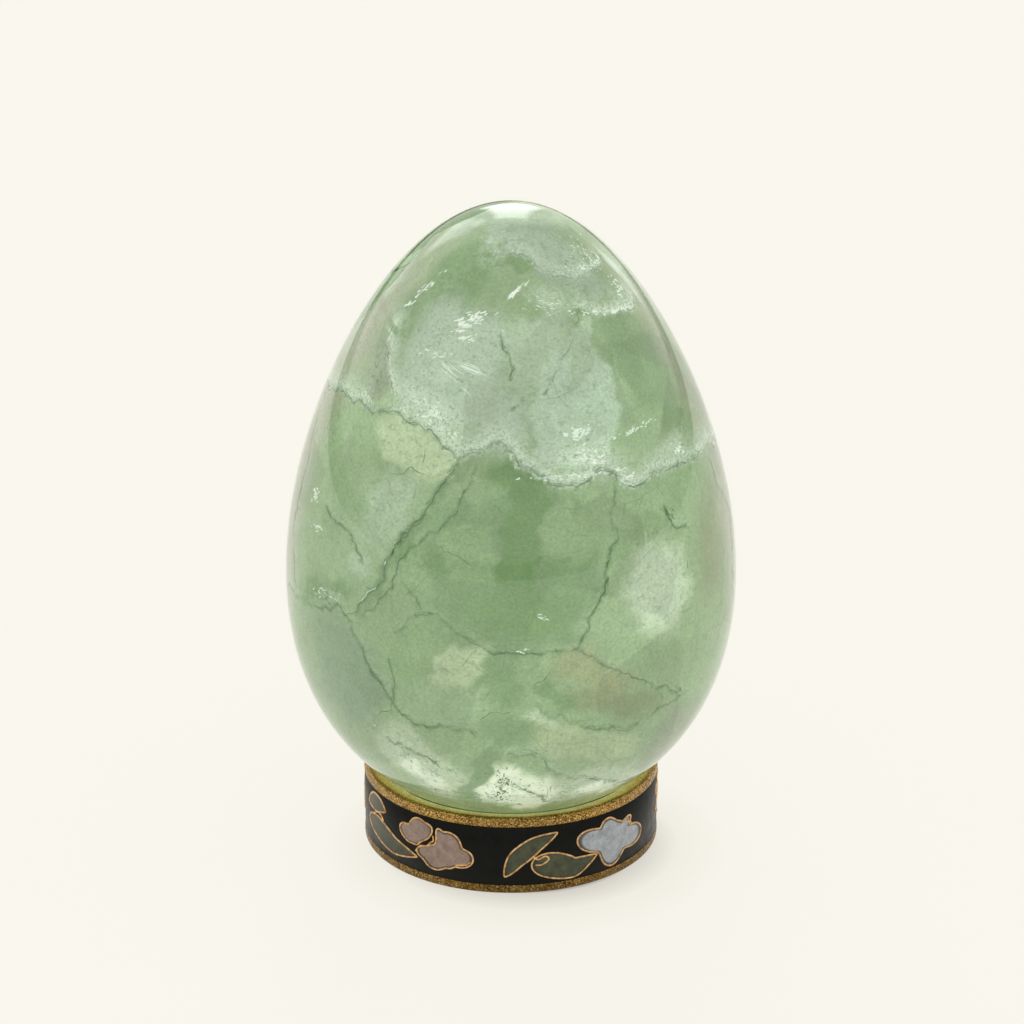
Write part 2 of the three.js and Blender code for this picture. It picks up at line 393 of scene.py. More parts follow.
# The enamel ground: black vitreous enamel, fused into the channel, ground flush with the wires
# and polished. It keeps a few pits and a faint cloudiness.
enamel_sink = 0.05 * MM
ground_round = 0.01 * MM


def attribute(tree, name, output="Fac"):
    """A number or colour kept at the points of the mesh."""
    return new_node(tree, "ShaderNodeAttribute", {}, attribute_name=name).outputs[output]


def enamel(name, deep, light, gloss=0.4):
    """Polished glass enamel: clouded colour, fine pits, and painted shade along the inside of the
    wires.
    """
    material, tree, shader = new_material(name)
    place = place_of(tree)
    clouds = noise(tree, place, 900)
    colour = ramp(tree, clouds, (0.3, paint(*deep)), (0.7, paint(*light)))
    pits = ramp(tree, noise(tree, place, 5200, 2.0), (0.28, 1.0), (0.36, 0.0))
    colour = mixed(tree, pits, colour, paint(30, 27, 22))
    # Painted shade: the enamel is darkened to brown next to its wires.
    wire_shade = ramp(tree, attribute(tree, "wire_shade"), (0.1, 0.0), (0.8, 0.85))
    plug(tree, shader, {
        "Base Color": mixed(tree, wire_shade, colour, paint(44, 32, 20)),
        "Roughness": ramp(tree, clouds, (0.3, 0.28), (0.7, 0.42)),
        "Specular IOR Level": gloss,
    })
    bumped(tree, shader, clouds, 0.02 * MM, 0.5)
    return material


black_enamel = enamel("black_enamel", (1, 3, 1), (8, 10, 6), 0.13)
ground_face = ring_radius - enamel_sink
ground_corners = np.array([
    (ground_face, band_bottom),
    (ground_face, band_top),
    (channel, band_top),
    (channel, band_bottom),
])
ground_grid = turned(rounded(ground_corners, np.full(4, ground_round), steps=2))
piece("ground_enamel", [ground_grid], black_enamel, ["enamel_ground"], ends="looped")

# The cells: flat gilt wire bent on edge into the outlines of flowers, buds and leaves, and
# soldered round the channel, each one filled with coloured enamel. Five branches run round the
# ring. Outlines are drawn flat, in shares of a branch's length and of the band's height.
branch_bearings = [-30, 42, 122, 191, 259]
branch_length = 2 * np.pi * ring_radius / len(branch_bearings)
band_height = band_top - band_bottom
wire_width = 0.25 * MM
wire_proud = 0.06 * MM
# across and up, in half widths and in heights out of the channel's enamel
wire_section = np.array([(-1, -4), (-1, 0), (-0.7, 0.75), (0, 1), (0.7, 0.75), (1, 0), (1, -4)])
fill_shares = np.array([1, 0.93, 0.85, 0.7, 0.5, 0.3, 0.02])
fill_spacing = 0.16 * MM
fill_depth = 0.3 * MM
fill_least = 0.02 * MM
fill_dish = 0.03 * MM
lobe_crispness = 8


def flat(points):
    """Shares of a branch's length and of the band's height, as metres along and up the band."""
    return np.array(points) * (branch_length, band_height) + (0, band_bottom)


def lobed(centre, heart, lobes, count=180):
    """A closed outline whose reach at each bearing is a smooth greatest of its heart and lobes.
    A lobe's reach falls off from its own bearing as a bell curve."""
    bearing = np.linspace(0, 360, count, endpoint=False)
    reach = np.full(count, heart) ** lobe_crispness
    for middle, length, breadth in lobes:
        away = (bearing - middle + 180) % 360 - 180
        reach = reach + (length * np.exp(-((away / breadth) ** 2))) ** lobe_crispness
    reach = branch_length * reach ** (1 / lobe_crispness)
    turn = np.radians(bearing)
    return flat(centre) + reach[:, None] * np.stack([np.cos(turn), np.sin(turn)], axis=1)


def running(points):
    """The length run so far at each point of a route."""
    return np.concatenate([[0], np.cumsum(np.linalg.norm(np.diff(points, axis=0), axis=1))])


def at_marks(marks, run, points):
    """Points at marked lengths of a route, on straight lines between its own points."""
    return np.stack([np.interp(marks, run, column) for column in points.T], axis=1)


def smooth_route(points, count):
    """A curve through the points, rounded: each of its points is a bell-weighted mean, with a
    bell 0.07 of the length wide, of the broken line carried on straight past both ends."""
    run = running(points)
    run = run / run[-1]
    fine = np.linspace(-0.2, 1.2, 4 * count)
    along = at_marks(fine, run, points)
    early, late = fine[fine < 0, None], fine[fine > 1, None] - 1
    along[fine < 0] = points[0] + (points[0] - points[1]) * (-early / run[1])
    along[fine > 1] = points[-1] + (points[-1] - points[-2]) * (late / (1 - run[-2]))
    share = np.linspace(0, 1, count)
    weights = np.exp(-(((share[:, None] - fine) / 0.07) ** 2))
    return weights @ along / weights.sum(axis=1, keepdims=True)


def leafy(spine, width, fullest, count=60):
    """A closed outline that swells and thins along a spine, fullest at a share of its length:
    the half width follows the sine of half a turn times the share to a power, flattened by 0.8."""
    middle = smooth_route(flat(spine), count)
    power = np.log(0.5) / np.log(fullest)
    swell = np.sin(np.pi * np.linspace(0, 1, count) ** power).clip(0) ** 0.8
    ahead = unit(np.gradient(middle, axis=0))
    across = np.stack([-ahead[:, 1], ahead[:, 0]], axis=1)
    across = across * (width / 2 * branch_length * swell)[:, None]
    return np.concatenate([middle - across, (middle + across)[-2:0:-1]])


def evened(outline, spacing=0.09 * MM, closed=True):
    """The same outline with points at even distances."""
    ring = np.concatenate([outline, outline[:1]]) if closed else outline
    run = running(ring)
    marks = np.linspace(0, run[-1], int(run[-1] / spacing), endpoint=not closed)
    return at_marks(marks, run, ring)


def on_band(flat_points, height, turn):
    """Flat points bent round the ring, standing a height out of the enamel's surface."""
    bearing = turn + flat_points[..., 0] / ring_radius
    return around_axis(ground_face + height, bearing, flat_points[..., 1])


def wire(outline, turn, closed=True):
    """Flat wire on edge along an outline: a half-round top over straight sides."""
    route = evened(outline, closed=closed)
    ahead = np.gradient(route, axis=0)
    if closed:
        ahead = np.roll(route, -1, axis=0) - np.roll(route, 1, axis=0)
    ahead = unit(ahead)
    across = np.stack([ahead[:, 1], -ahead[:, 0]], axis=1)
    sideways = route[:, None] + across[:, None] * wire_section[None, :, :1] * wire_width / 2
    return on_band(sideways, wire_section[None, :, 1] * (wire_proud + enamel_sink), turn)


def fill(outline, turn):
    """Enamel in a cell: rings drawn in from the outline to its middle, dished by a hair: its
    rise goes with the ring's share to the power 4."""
    outline = evened(outline, fill_spacing)
    middle = (outline.min(axis=0) + outline.max(axis=0)) / 2
    share = fill_shares[:, None, None]
    spread = middle + (outline - middle)[None] * share
    grid = on_band(spread, fill_least + fill_dish * share[..., 0] ** 4, turn)
    return np.concatenate([on_band(outline[None], -fill_depth, turn), grid])


pale_cells = {
    "leaf_a": leafy([(-0.617, 0.15), (-0.555, 0.46), (-0.455, 0.7), (-0.335, 0.87)], 0.1, 0.45),
    "leaf_b": leafy([(-0.475, 0.36), (-0.36, 0.31), (-0.24, 0.2), (-0.1, 0.34)], 0.145, 0.33),
    "flower": lobed(
        (0.015, 0.47), 0.11,
        [(163, 0.246, 36), (113, 0.152, 50), (36, 0.168, 22), (353, 0.247, 35), (260, 0.138, 70)],
    ),
}
rose_cells = {
    "leaf_a": leafy([(-0.6, 0.68), (-0.52, 0.78), (-0.44, 0.8), (-0.375, 0.76)], 0.1, 0.5),
    "leaf_b": leafy([(-0.59, 0.42), (-0.45, 0.39), (-0.3, 0.26), (-0.12, 0.24)], 0.125, 0.36),
    "bud": lobed(
        (-0.132, 0.541), 0.03,
        [(156, 0.119, 46), (160, 0.092, 66), (72, 0.134, 65), (44, 0.145, 35), (112, 0.081, 129)],
    ),
    "flower": lobed(
        (0.07, 0.37), 0.06,
        [(181, 0.189, 25), (190, 0.15, 70), (8, 0.147, 52), (85, 0.151, 75), (109, 0.163, 19)],
    ),
}
pale_curls = [
    [(-0.47, 0.5), (-0.44, 0.42), (-0.4, 0.5), (-0.375, 0.42), (-0.42, 0.33), (-0.455, 0.34)],
    [(0.12, 0.78), (0.13, 0.68), (0.16, 0.64)],
]
rose_curls = [
    [(-0.13, 0.34), (-0.1, 0.46), (-0.05, 0.49), (-0.03, 0.58), (-0.01, 0.6), (-0.015, 0.7)],
    [(0.12, 0.27), (0.18, 0.3), (0.2, 0.36)],
    [(-0.5, 0.6), (-0.46, 0.66), (-0.42, 0.63), (-0.4, 0.56)],
]
enamels = {
    "leaf": (enamel("leaf_enamel", (38, 44, 28), (76, 80, 54)), "leaf_enamel"),
    "rose": (enamel("rose_enamel", (122, 102, 92), (156, 136, 124)), "pink_enamel"),
    "pale": (enamel("pale_enamel", (134, 140, 144), (174, 180, 186)), "blue_enamel"),
}

wire_gilt, tree, shader = new_material("wire_gilt")
rub = noise(tree, place_of(tree), 1800, 3.0)
plug(tree, shader, {
    "Base Color": ramp(tree, rub, (0.3, paint(156, 112, 64)), (0.62, paint(228, 188, 136))),
    "Roughness": ramp(tree, rub, (0.3, 0.5), (0.7, 0.3)),
    "Metallic": 1.0,
})
bumped(tree, shader, rub, 0.03 * MM, 0.6)


def keep_at_points(made, name, values):
    """Keeps a number for each point of a piece's mesh, for its finish to read."""
    made.data.attributes.new(name, "FLOAT", "POINT").data.foreach_set("value", values)


for number, branch_bearing in enumerate(branch_bearings, 1):
    turn = np.radians(branch_bearing)
    kind, cells, curls = (
        ("rose", rose_cells, rose_curls) if number % 2 else ("pale", pale_cells, pale_curls)
    )
    for part, outline in cells.items():
        node = f"{part}_{number}"
        finish, slot = enamels["leaf" if part.startswith("leaf") else kind]
        loop = [wire(outline, turn)]
        piece(f"{node}_loop", loop, wire_gilt, [f"{node}_wire"], ends="looped")
        field = fill(outline, turn)
        filled = piece(f"{node}_fill", [field], finish, [f"{node}_enamel"])
        # Marks the outline rows, where the painted shade along the wires falls.
        rows = np.concatenate([[1.0], (fill_shares > 0.9) * 1.0])
        wire_shade_values = np.concatenate([np.repeat(rows, field.shape[1]), [1.0, 0.0]])
        keep_at_points(filled, "wire_shade", wire_shade_values)
    curled = [wire(smooth_route(flat(curl), 60), turn, closed=False) for curl in curls]
    piece(f"curls_{number}", curled, wire_gilt)

# The crystal: one solid egg of clear pale green fluorite, tumbled and polished to a high gloss.
# It stands blunt end down on the seat, and what clouds it is sealed inside.
egg_low, egg_high = (np.array(corner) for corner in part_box("egg"))
egg_bottom = egg_low[2]
egg_height = egg_high[2] - egg_low[2]
egg_width = egg_high[0] - egg_low[0]
egg_taper = 0.2247
egg_crown = 0.0291
refraction = 1.434
tint_colour = (0.62, 0.9, 0.66, 1)
tint_density = 6.0


def egg_outline(level):
    """Radius, height and radius times slope of the egg, at levels from -1, blunt, to 1, pointed.
    The radius follows an ellipse times one, less the taper share, plus the crown share squared."""
    fine = np.linspace(-1, 1, 4001)
    swell = 1 - egg_taper * fine + egg_crown * fine**2
    fullest = (np.sqrt(1 - fine**2) * swell).max()
    swell = 1 - egg_taper * level + egg_crown * level**2
    size = egg_width / 2 / fullest
    radius = size * np.sqrt((1 - level**2).clip(0)) * swell
    height = egg_bottom + egg_height / 2 * (1 + level)
    change = (1 - level**2) * swell * (2 * egg_crown * level - egg_taper) - level * swell**2
    return radius, height, size**2 * change / (egg_height / 2)


egg_levels = -np.cos(np.linspace(0.004, np.pi - 0.004, 260))
egg_profile = np.stack(egg_outline(egg_levels)[:2], axis=1)
crystal, tree, shader = new_material("clear_fluorite")
plug(tree, shader, {
    "Base Color": (1, 1, 1, 1),
    "Roughness": 0.0,
    "IOR": refraction,
    "Transmission Weight": 1.0,
})
bumped(tree, shader, noise(tree, place_of(tree), 160, 2.0), 0.02 * MM, 0.5)
tint = {"Color": tint_colour, "Density": tint_density}
absorbed = new_node(tree, "ShaderNodeVolumeAbsorption", tint).outputs["Volume"]
plug(tree, tree.nodes["Material Output"], {"Volume": absorbed})
piece("crystal", [turned(egg_profile, 320)], crystal, ["egg"])

# The heart: the clouded middle of the crystal, cleaved into blocks along flat planes, each with
# its own green. It stops short of the surface, so that a clear skin is left all round.
heart_share = 0.7
foot_share = 0.285
foot_level = -0.3
foot_rise = 0.57
facet_count = 110
facet_seed = 11
facet_sway = 0.04
least_facing = 0.15
deepest_cut = 0.9 * MM
heart_columns = 380
block_count = 90
body_tone = (150, 176, 134)


def eased(share):
    """A share from 0 to 1 that starts and ends gently: three squares less two cubes."""
    return share * share * (3 - 2 * share)


def heart_outline(level):
    """The egg's outline drawn in towards the points where its normals meet the axis: by 30 in
    100 at the sides and the top, and by less towards the blunt end."""
    radius, height, sloped = egg_outline(level)
    share = heart_share + foot_share * eased(((foot_level - level) / foot_rise).clip(0, 1))
    return share * radius, height + (1 - share) * sloped


heart_levels = -np.cos(np.linspace(0.012, np.pi - 0.012, 248))
heart_radii, heart_heights = heart_outline(heart_levels)
chance = np.random.default_rng(facet_seed)
facet_levels = chance.uniform(-0.97, 0.97, facet_count)
facet_bearings = chance.uniform(0, 2 * np.pi, facet_count)
facet_radii, facet_heights = heart_outline(facet_levels)
facet_points = around_axis(facet_radii, facet_bearings, facet_heights)
facet_girths, _, facet_slopes = egg_outline(facet_levels)
facet_normals = unit(around_axis(facet_girths, facet_bearings, -facet_slopes))
facet_normals += chance.normal(0, facet_sway, facet_normals.shape)
facet_depths = (facet_normals * facet_points).sum(axis=1)
facet_depths += chance.uniform(-0.35, 0.05, facet_count) * MM


def heart_radius(bearing, height):
    """How far the heart reaches at a bearing and height: the nearest of its cleavage planes."""
    smooth = np.interp(height, heart_heights, heart_radii)
    out = np.stack([np.sin(bearing), -np.cos(bearing)], axis=-1)
    facing = out @ facet_normals[:, :2].T
    rest = facet_depths - height[..., None] * facet_normals[:, 2]
    reach = rest / np.maximum(facing, least_facing)
    reach = np.where(facing > least_facing, reach, 1.0).min(axis=-1)
    return np.minimum(smooth, np.maximum(reach, smooth - deepest_cut))


tones = {
    # a painted pool of light at the foot, where the crystal gathers light
    "painted_base_light": (238, 250, 224),
    "milk": (184, 202, 170),
    "veil": (176, 196, 172),
    "pale": (174, 196, 166),
    "lime": (170, 188, 148),
    "lemon": (181, 200, 162),
    "mint": (186, 209, 183),
    "cream": (197, 216, 187),
    "haze": (146, 162, 132),
    "mid": (156, 181, 142),
    "fern": (147, 174, 130),
    "sea": (140, 164, 132),
    "frost": (150, 170, 146),
    "green": (132, 160, 118),
    "leaf": (126, 156, 109),
    "deep": (117, 151, 100),
    "tan": (156, 168, 127),
    "olive": (142, 158, 120),
    # painted shade for the rims
    "painted_rim_shade": (166, 172, 148),
}
zones = {
    # tone, bearing, height, half length, half width in mm, lean, squareness and edge softness
    "block": ("green", 1, 41, 9, 9, 10, 4, 0.2),
    "hollow_right": ("green", -4, 29, 2.5, 2.5, 0, 2, 0.6),
    "hollow": ("mid", -21, 26.5, 5, 2, -3, 3, 0.5),
    "column": ("pale", 15, 65, 5, 3.4, 60, 2, 0.7),
    "column_top": ("fern", 8, 69, 2.6, 1.2, 0, 2, 0.8),
    "crown_left": ("leaf", -51, 71, 5, 3.4, 33, 2, 0.6),
    "great_veil": ("veil", -32, 62.5, 6.4, 6, 83, 3, 0.45),
    "veil_right": ("veil", -4, 57.6, 3.6, 2.6, 60, 2, 0.7),
    "right_dark": ("green", 77, 61, 6.5, 5, -73, 2, 0.5),
    "cone_side": ("mid", 46, 60, 4.5, 2.4, -66, 2, 0.6),
    "cone": ("mint", 29, 58, 6, 5, 68, 2.4, 0.18),
    "cone_tip": ("pale", 39, 64, 5, 1.5, 58, 1.4, 0.25),
    "notch": ("leaf", 80, 53.5, 3, 1.5, 8, 1.4, 0.3),
    "cap": ("frost", 60, 73.5, 7, 4, -28, 2, 0.5),
    "conch": ("leaf", 62, 67.6, 3.6, 1.3, -20, 2, 0.6),
    "cap_wedge": ("leaf", 1, 73.5, 2.5, 0.9, -18, 2, 0.4),
    "left_haze": ("haze", -78, 59.5, 3.5, 3.5, 0, 2, 0.6),
    "left_dark": ("green", -80, 65.5, 3.2, 2.6, 0, 2, 0.8),
    "cap_side": ("leaf", 104, 69, 5, 3.2, 90, 2, 0.8),
    "left_cell": ("lemon", -38, 54, 5.5, 3, -12, 2.5, 0.4),
    "left_wall": ("mid", -53, 44.5, 6, 4, 66, 2, 0.6),
    "left_wall_light": ("pale", -46, 46.5, 5, 2.6, 66, 2, 0.8),
    "left_milk": ("mid", -61, 39.5, 4.5, 2.6, 19, 2, 0.7),
    "left_milk_core": ("pale", -55, 39.5, 2.2, 1, 30, 2, 0.9),
    "left_tan": ("deep", -76, 34, 6, 1.4, 20, 2, 0.9),
    "left_low": ("sea", -61, 27, 7, 5, -44, 2, 0.5),
    "block_left": ("fern", -14, 43.5, 3, 3, 15, 4, 0.25),
    "block_dark": ("deep", 4, 45.5, 6.5, 2.1, 80, 4, 0.3),
    "block_top": ("deep", 3, 52, 3.4, 1.6, 0, 2, 0.8),
    "block_right": ("fern", 20, 45.5, 3, 3, -17, 4, 0.3),
    "block_low": ("leaf", 3, 37, 4.5, 3, 0, 2, 0.8),
    # partly milky crystal and partly a painted pool of light on the right
    "right_milk_and_painted_light": ("cream", 53, 37, 5, 4.4, -70, 2.4, 0.7),
    "right_rim": ("olive", 88, 38.5, 6, 4, 67, 2, 0.7),
    "right_mid": ("mid", 32, 34.5, 3.5, 2.2, -12, 2, 0.8),
    "bright_cell": ("lemon", -17, 30.5, 4.2, 2, 41, 1.6, 0.5),
    "low_left": ("fern", -33, 31, 4, 2, 62, 3, 0.4),
    "tan_floor": ("olive", 34, 25.6, 6.6, 1.5, -17, 2, 0.6),
    "tan_cell": ("tan", 27, 29.3, 4.8, 2.0, -33, 2.4, 0.7),
    "tan_wedge": ("leaf", 14, 27.2, 2.6, 1.1, -35, 1.6, 0.7),
    "under_middle": ("green", 1, 23.4, 3.8, 1.6, 0, 2, 1.0),
    "pale_chip": ("milk", 10, 24.5, 1.8, 0.9, -20, 1.4, 0.5),
    "under_cell": ("lime", 25, 21, 6.5, 2, -16, 3, 0.5),
    "right_low": ("haze", 61, 18.5, 5, 4, 32, 2, 0.6),
    "base_left": ("milk", -31, 18, 6.0, 3.2, -39, 3, 0.4),
    "base_right": ("milk", 32, 14.5, 6.5, 3, -7, 2, 0.5),
    # the base cores are a painted pool of light gathered at the crystal's foot
    "base_right_core": ("painted_base_light", 34, 13.6, 3.6, 1, -8, 2, 0.9),
    "base_left_core": ("painted_base_light", -30, 16.5, 2.6, 1.2, -30, 2, 0.9),
    "base_middle": ("painted_base_light", 1.5, 15, 5, 3.2, -22, 2.5, 0.5),
    "base_band": ("green", -8.5, 18.6, 5.8, 1.0, 64, 5, 0.4),
    "band_shade": ("green", -36, 43.8, 11.4, 0.6, 60, 4, 0.7),
    "back_pale": ("pale", 140, 60, 9, 7, 20, 2, 0.5),
    "back_veil": ("veil", -140, 62, 8, 5, -30, 3, 0.5),
    "back_block": ("green", 180, 42, 9, 8, 8, 4, 0.3),
    "back_deep": ("deep", 186, 45, 6, 2.4, 75, 4, 0.4),
    "back_milk": ("milk", 128, 37, 6, 5, -40, 3, 0.5),
    "back_lime": ("lime", -125, 45, 6, 5, 40, 3, 0.5),
    "back_low": ("fern", 170, 26, 8, 4, 10, 3, 0.5),
    "back_tan": ("tan", -140, 30, 5, 3, -20, 3, 0.5),
    "back_foot": ("painted_base_light", -160, 15, 7, 3, 10, 3, 0.6),
    "side_foot": ("milk", 112, 17, 6, 4, -20, 3, 0.5),
    # painted shade greys the heart towards its left and right rims, and a painted dark reflection runs
    # down the right rim
    "rim_left": ("painted_rim_shade", -118, 46, 24, 6, 90, 3, 0.8),
    "rim_right": ("painted_rim_shade", 118, 44, 24, 6, 90, 3, 0.8),
    "rim_right_painted_reflection": ("haze", 121, 50, 9, 4.5, 84, 2, 1.2),
    "crest": ("pale", 180, 73, 5, 5, 0, 2, 0.7),
}
ripples = chance.normal(0, 1, (4, 2))[:2, 0]

column_bearings = np.linspace(0, 2 * np.pi, heart_columns, endpoint=False)
bearings, heights = np.meshgrid(column_bearings, heart_heights)
radii = heart_radius(bearings, heights)
heart_grid = around_axis(radii, bearings, heights)
girths = np.interp(heights, heart_heights, heart_radii) / MM


def linear(tone):
    """Shown 0 to 255 values as light."""
    return np.array(paint(*tone)[:3])


def unrolled(middle, height):
    """Millimetres round and up from a bearing and height, all over the heart."""
    around = np.radians((np.degrees(bearings) - middle + 180) % 360 - 180) * girths
    return around, heights / MM - height


def rippled(value, other, slow, fast, shift):
    """A value bent by two sine waves of another, 0.35 and 0.2 mm high."""
    return value + 0.35 * np.sin(other * slow + shift) + 0.2 * np.sin(other * fast)


def leaning(around, above, lean, long, wide):
    """Places turned back by a lean in degrees, as shares of a half length and a half width."""
    turn = np.radians(lean)
    along = (around * np.cos(turn) + above * np.sin(turn)) / long
    return along, (above * np.cos(turn) - around * np.sin(turn)) / wide


zone_colour = np.zeros(bearings.shape + (3,)) + linear(body_tone)
for tone, middle, height, long, wide, lean, square, soft in zones.values():
    around, above = unrolled(middle, height)
    around = rippled(around, above, 1.3, 3.1, ripples[0])
    above = rippled(above, around, 1.1, 2.7, ripples[1])
    along, across = leaning(around, above, lean, long, wide)
    reach = (np.abs(along) ** square + np.abs(across) ** square) ** (1 / square)
    weight = eased(((1 + soft / 2 - reach) / soft).clip(0, 1))[..., None]
    zone_colour = zone_colour * (1 - weight) + linear(tones[tone]) * weight

block_levels = chance.uniform(-0.95, 0.95, block_count)
block_bearings = chance.uniform(0, 2 * np.pi, block_count)
block_radii, block_heights = heart_outline(block_levels)
block_radii *= chance.uniform(0.8, 1.1, block_count)
block_seeds = around_axis(block_radii, block_bearings, block_heights)
block_light = chance.uniform(0.88, 1.12, (block_count, 1))
nearest_block = ((heart_grid[:, :, None] - block_seeds) ** 2).sum(axis=-1).argmin(axis=-1)
zone_colour = zone_colour * block_light[nearest_block]

fractures = {
    # route of (bearing, height in mm), then width, frost beside it and sheet's reach in mm
    "shelf": (
        [(-78, 55.6), (-69, 55.9), (-52, 57.1), (-44, 56), (-33, 55.8), (-20, 53.6), (-14, 54.7),
         (-4, 55.5), (1, 53.5), (15, 51.2), (24, 50.9), (35, 51.4), (45, 49.1), (54, 49.6),
         (68, 49.4), (98, 47.6)], 0.16, 1.0, 2.6,
    ),
    "band": ([(-20, 53.5), (-30, 47.5), (-43, 41.7), (-45, 39), (-55, 34)], 0.32, 0.2, 0.8),
    "band_right": (
        [(-13, 53), (-21, 47.6), (-28, 45.6), (-38, 41), (-42, 38), (-52, 34)], 0.13, 0.15, 0.5,
    ),
    "left_lower": (
        [(-86, 32.2), (-76, 32), (-64, 33.5), (-57, 32.6), (-48, 27.7), (-39, 24.7), (-26, 22.9),
         (-12, 23.3)], 0.22, 0.25, 0.8,
    ),
    "left_return": ([(-12, 23.3), (-8, 24.8), (1, 26), (8, 28.8), (14, 30.5), (16, 32.6)], 0.09, 0, 0),
    "left_second": ([(-42, 30), (-39, 27.6), (-39, 25.2)], 0.16, 0, 0),
    "left_short": ([(-78, 43.7), (-66, 42.7), (-53, 40)], 0.2, 0.3, 0.6),
    "right_down": (
        [(40, 49.7), (36, 46.4), (37, 44), (32, 41.5), (32, 39.5), (24, 34.4), (22, 33)],
        0.18, 0.2, 0.6,
    ),
    "arc": (
        [(-39, 33.3), (-30, 35.9), (-23, 36.3), (-13, 34), (-6, 32.8), (8, 32), (20, 32.6),
         (30, 30.8), (38, 28.6), (49, 26), (62, 24)], 0.12, 0.2, 0.5,
    ),
    "arc_spur": ([(-34, 38.4), (-29, 36.6)], 0.18, 0, 0),
    "cell_under": (
        [(62, 24), (51, 23.3), (43, 22.4), (37, 22), (27, 22.9), (21, 24.3), (8, 26.4)], 0.12, 0, 0,
    ),
    "corner_left": ([(-51, 20.3), (-46, 23), (-39, 24.3)], 0.1, 0.2, 0.4),
    "base_left": ([(-42, 20.6), (-33, 19.7), (-26, 18.6), (-18, 17.5)], 0.14, 0.3, 0.4),
    "base_middle": ([(1, 16.2), (7, 14.9), (17, 12.3)], 0.2, 0.3, 0),
    "base_right": ([(-1, 20.6), (7, 20.2), (15, 18), (26, 15.7), (41, 14)], 0.12, 0.3, 0.4),
    "right_low": ([(49, 21.3), (47, 18.4), (44, 16)], 0.1, 0.2, 0.3),
    "right_lower": ([(70, 20.3), (59, 18.5), (59, 17.6)], 0.1, 0, 0),
    "centre": ([(-8, 49.2), (-4, 48.9), (4, 47), (11, 46)], 0.06, 0, 0),
    "centre_left": ([(-30, 44.2), (-22, 43.5), (-13, 42.3)], 0.06, 0, 0),
    "dash_1": ([(-48, 50), (-44, 46.8)], 0.09, 0, 0),
    "dash_2": ([(-36, 49.4), (-37, 47.4)], 0.08, 0, 0),
    "dash_3": ([(-35, 53.8), (-35, 52.2)], 0.08, 0, 0),
    "dash_4": ([(-49, 50.5), (-37, 51.2), (-25, 51.6)], 0.07, 0, 0),
    "pit": ([(60, 45.8), (64, 43.2), (71, 42)], 0.18, 0.3, 0.4),
    "pit_low": ([(68, 38.8), (67, 37.8)], 0.1, 0, 0),
    "triangle": ([(-24, 30.3), (-18, 29.5), (-12, 32.4)], 0.07, 0, 0),
    "dash_up": ([(-6, 66.4), (-1, 64.4), (0, 62)], 0.16, 0, 0),
    "tick": ([(1, 59.2), (5, 60)], 0.16, 0, 0),
    "tick_right": ([(15, 60.5), (18, 61)], 0.16, 0, 0),
    "slant_right": ([(50, 65.7), (52, 63.6), (54, 61)], 0.08, 0, 0),
    "slant": ([(48, 68.3), (44, 66.9), (27, 64), (15, 60.7)], 0.07, 0, 0),
    "cap": (
        [(-37, 74.5), (-13, 73.9), (19, 73.3), (30, 72.3), (44, 71.4), (66, 70.7), (88, 70),
         (112, 69.6)], 0.1, 0.5, 1.2,
    ),
    "conch": ([(51, 68), (57, 67), (67, 66.3), (87, 65.4), (105, 65)], 0.08, 0.8, 0.8),
    "veil_left": ([(-83, 64), (-83, 62.6), (-73, 61), (-56, 58.4)], 0.08, 0.8, 0.6),
    "back_shelf": (
        [(98, 47.6), (120, 45), (140, 48), (165, 46), (190, 50), (215, 47), (240, 52), (282, 55.6)],
        0.18, 0.9, 2.2,
    ),
    "back_slant": ([(165, 46), (175, 38), (190, 32), (196, 26), (215, 22)], 0.45, 0.3, 0.9),
    "back_low": (
        [(110, 24), (135, 27), (160, 24), (196, 26), (230, 30), (274, 32)], 0.18, 0.3, 0.8,
    ),
    "back_rise": ([(215, 47), (222, 38), (230, 30)], 0.16, 0.2, 0.7),
    "side_right": ([(100, 46), (112, 38), (106, 31), (118, 25)], 0.18, 0.3, 0.8),
    "side_left": ([(-96, 32), (-108, 37), (-104, 44), (-116, 50)], 0.18, 0.3, 0.8),
    "back_foot": ([(140, 18), (170, 15), (200, 17), (235, 14)], 0.14, 0.5, 0.4),
    "back_top": ([(130, 66), (165, 63), (200, 67), (240, 64)], 0.1, 0.8, 0.9),
}
crack_chance = np.random.default_rng(seed=5)
crack_step = 0.16
knot_gap = 7
spur_girth = 18
great_from = 0.3
stranded_from = 0.11
shaded_from = 0.1
spurs_per_point = 0.08
frost_above = 1.6 * MM
frost_below = 0.25 * MM


def jagged(count, step, size):
    """Sideways wander at even steps: broken lines through chance points at three spacings."""
    marks = np.arange(count) * step
    wander = 0 * marks
    for spacing, share in ((2.6, 0.5), (1.0, 0.32), (0.4, 0.2)):
        knots = np.arange(0, marks[-1] + 2 * spacing, spacing)
        wander += np.interp(marks, knots, crack_chance.normal(0, share, len(knots)))
    ease = np.minimum(1, np.minimum(marks, marks[-1] - marks) / 1.2)
    return wander * size * ease


def girth_at(height):
    """The smooth heart's radius in millimetres, at heights in millimetres."""
    return np.interp(height * MM, heart_heights, heart_radii) / MM


